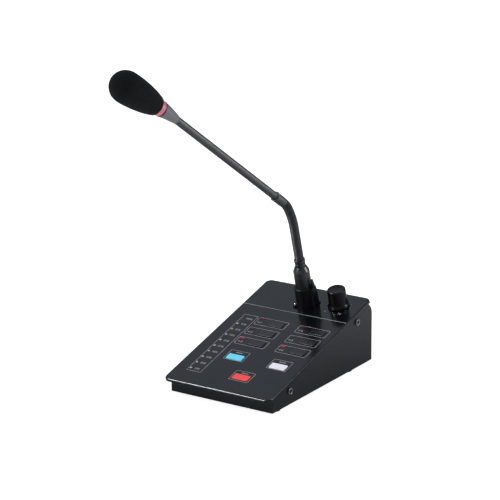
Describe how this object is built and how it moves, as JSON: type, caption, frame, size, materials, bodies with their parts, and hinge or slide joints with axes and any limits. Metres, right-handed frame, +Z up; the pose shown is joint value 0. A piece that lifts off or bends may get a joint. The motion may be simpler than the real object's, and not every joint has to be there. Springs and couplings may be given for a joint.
{
  "type": "paging microphone",
  "caption": "Desk console with a sloping key panel, level lamps and a volume knob, and a plug-in gooseneck microphone with a foam windscreen.",
  "frame": {"origin": "on the table, under the middle of the base box", "axes": "+Z up, +Y towards the rear of the console, +X to the right of someone who uses it"},
  "size_m": [0.1514, 0.312, 0.3879],
  "materials": {
    "steel": "satin black powder coat on folded sheet steel",
    "rubber": "matte black rubber",
    "screws": "blackened steel",
    "bright_screws": "nickel-plated steel",
    "zinc": "zinc-plated steel",
    "board": "green solder mask on glass-fibre laminate",
    "parts_black": "moulded black plastic",
    "keys_black": "smooth black moulded keys",
    "key_blue": "translucent light blue key, lit from below",
    "key_white": "translucent white key, lit from below",
    "key_red": "translucent red key, lit from below",
    "channel_lamps": "diffused red lamp windows",
    "meter_lamps": "diffused round lamps",
    "knob": "gloss black moulded knob",
    "socket": "black zinc casting",
    "plug": "satin dark metal shell",
    "neck": "black oxide wound steel",
    "tube": "satin dark grey coating",
    "head": "satin dark grey moulding",
    "light_ring": "translucent red light guide",
    "capsule": "drawn aluminium can",
    "contacts": "plated contact pins",
    "foam": "open-cell black foam"
  },
  "bodies": {
    "console": {"top_plate": "steel", "base_tray": "steel", "rear_panel": "steel", "rubber_feet": "rubber", "side_screws": "screws", "cover_brackets": "zinc", "main_board": "board", "board_standoffs": "zinc", "board_screws": "zinc", "key_switches": "parts_black", "channel_lamps": "channel_lamps", "meter_lamps": "meter_lamps", "potentiometer": "zinc", "control_washer": "zinc", "control_nut": "zinc", "socket_shell": "socket", "socket_insert": "parts_black", "socket_screws": "bright_screws", "plug_shell": "plug", "plug_insert": "parts_black", "plug_pins": "contacts", "plug_bush": "plug", "gooseneck_coil_1": "neck", "rear_board": "board", "rear_standoffs": "zinc", "link_socket": "parts_black", "power_inlet": "parts_black"},
    "channel_button_1": {"channel_key_1": "keys_black"},
    "channel_button_2": {"channel_key_2": "keys_black"},
    "channel_button_3": {"channel_key_3": "keys_black"},
    "channel_button_4": {"channel_key_4": "keys_black"},
    "channel_button_5": {"channel_key_5": "keys_black"},
    "channel_button_6": {"channel_key_6": "keys_black"},
    "blue_button": {"blue_key": "key_blue"},
    "white_button": {"white_key": "key_white"},
    "red_button": {"red_key": "key_red"},
    "latch": {"latch_tab": "socket"},
    "volume": {"control_shaft": "zinc", "volume_knob": "knob"},
    "neck_link_1": {"gooseneck_coil_2": "neck"},
    "neck_link_2": {"gooseneck_coil_3": "neck"},
    "neck_link_3": {"gooseneck_coil_4": "neck"},
    "neck_link_4": {"gooseneck_coil_5": "neck"},
    "neck_link_5": {"gooseneck_coil_6": "neck"},
    "boom": {"gooseneck_coil_7": "neck", "neck_collar": "tube", "upper_tube": "tube", "head_cone": "head", "light_ring": "light_ring", "capsule_cage": "steel", "capsule_holder": "rubber", "mic_capsule": "capsule", "windscreen": "foam"}
  },
  "joints": [
    {"name": "channel_key_1_press", "type": "slide", "parent": "console", "child": "channel_button_1", "axis": [0, 0.2644, -0.9644], "range_m": [0, 0.0005], "stiffness_N_per_m": 1200, "springref_m": -0.0008},
    {"name": "channel_key_2_press", "type": "slide", "parent": "console", "child": "channel_button_2", "axis": [0, 0.2644, -0.9644], "range_m": [0, 0.0005], "stiffness_N_per_m": 1200, "springref_m": -0.0008},
    {"name": "channel_key_3_press", "type": "slide", "parent": "console", "child": "channel_button_3", "axis": [0, 0.2644, -0.9644], "range_m": [0, 0.0005], "stiffness_N_per_m": 1200, "springref_m": -0.0008},
    {"name": "channel_key_4_press", "type": "slide", "parent": "console", "child": "channel_button_4", "axis": [0, 0.2644, -0.9644], "range_m": [0, 0.0005], "stiffness_N_per_m": 1200, "springref_m": -0.0008},
    {"name": "channel_key_5_press", "type": "slide", "parent": "console", "child": "channel_button_5", "axis": [0, 0.2644, -0.9644], "range_m": [0, 0.0005], "stiffness_N_per_m": 1200, "springref_m": -0.0008},
    {"name": "channel_key_6_press", "type": "slide", "parent": "console", "child": "channel_button_6", "axis": [0, 0.2644, -0.9644], "range_m": [0, 0.0005], "stiffness_N_per_m": 1200, "springref_m": -0.0008},
    {"name": "blue_key_press", "type": "slide", "parent": "console", "child": "blue_button", "axis": [0, 0.2644, -0.9644], "range_m": [0, 0.0005], "stiffness_N_per_m": 1200, "springref_m": -0.0008},
    {"name": "white_key_press", "type": "slide", "parent": "console", "child": "white_button", "axis": [0, 0.2644, -0.9644], "range_m": [0, 0.0005], "stiffness_N_per_m": 1200, "springref_m": -0.0008},
    {"name": "red_key_press", "type": "slide", "parent": "console", "child": "red_button", "axis": [0, 0.2644, -0.9644], "range_m": [0, 0.0005], "stiffness_N_per_m": 1200, "springref_m": -0.0008},
    {"name": "latch_press", "type": "slide", "parent": "console", "child": "latch", "axis": [0, 0.2644, -0.9644], "range_m": [0, 0.0015], "stiffness_N_per_m": 1500, "springref_m": -0.0008},
    {"name": "volume_turn", "type": "hinge", "parent": "console", "child": "volume", "pos_m": [0.0432, 0.07375, 0.07384], "axis": [0, -0.2644, 0.9644], "range_deg": [-150, 150]},
    {"name": "neck_lean_1", "type": "hinge", "parent": "console", "child": "neck_link_1", "pos_m": [0.005, 0.04673, 0.13758], "axis": [0.9272, -0.3613, -0.099], "range_deg": [-14, 14], "deforming": ["gooseneck_coil_1"]},
    {"name": "neck_swing_1", "type": "hinge", "parent": "neck_link_1", "child": "neck_link_2", "pos_m": [0.005, 0.04323, 0.15035], "axis": [-0.3746, -0.8942, -0.2451], "range_deg": [-14, 14], "deforming": ["gooseneck_coil_2"]},
    {"name": "neck_lean_2", "type": "hinge", "parent": "neck_link_2", "child": "neck_link_3", "pos_m": [0.005, 0.03973, 0.16312], "axis": [0.9272, -0.3613, -0.099], "range_deg": [-14, 14], "deforming": ["gooseneck_coil_3"]},
    {"name": "neck_swing_2", "type": "hinge", "parent": "neck_link_3", "child": "neck_link_4", "pos_m": [0.00495, 0.03612, 0.17585], "axis": [-0.3741, -0.8799, -0.2928], "range_deg": [-14, 14], "deforming": ["gooseneck_coil_4"]},
    {"name": "neck_lean_3", "type": "hinge", "parent": "neck_link_4", "child": "neck_link_5", "pos_m": [0.00438, 0.03127, 0.18815], "axis": [0.9272, -0.3613, -0.099], "range_deg": [-14, 14], "deforming": ["gooseneck_coil_5"]},
    {"name": "neck_swing_3", "type": "hinge", "parent": "neck_link_5", "child": "boom", "pos_m": [0.00311, 0.02488, 0.19965], "axis": [-0.3462, -0.7253, -0.595], "range_deg": [-14, 14], "deforming": ["gooseneck_coil_6", "gooseneck_coil_7"]}
  ],
  "couplings": [
    {"joint": "neck_lean_2", "follows": "neck_lean_1", "ratio": 1},
    {"joint": "neck_lean_3", "follows": "neck_lean_1", "ratio": 1},
    {"joint": "neck_swing_2", "follows": "neck_swing_1", "ratio": 1},
    {"joint": "neck_swing_3", "follows": "neck_swing_1", "ratio": 1}
  ]
}
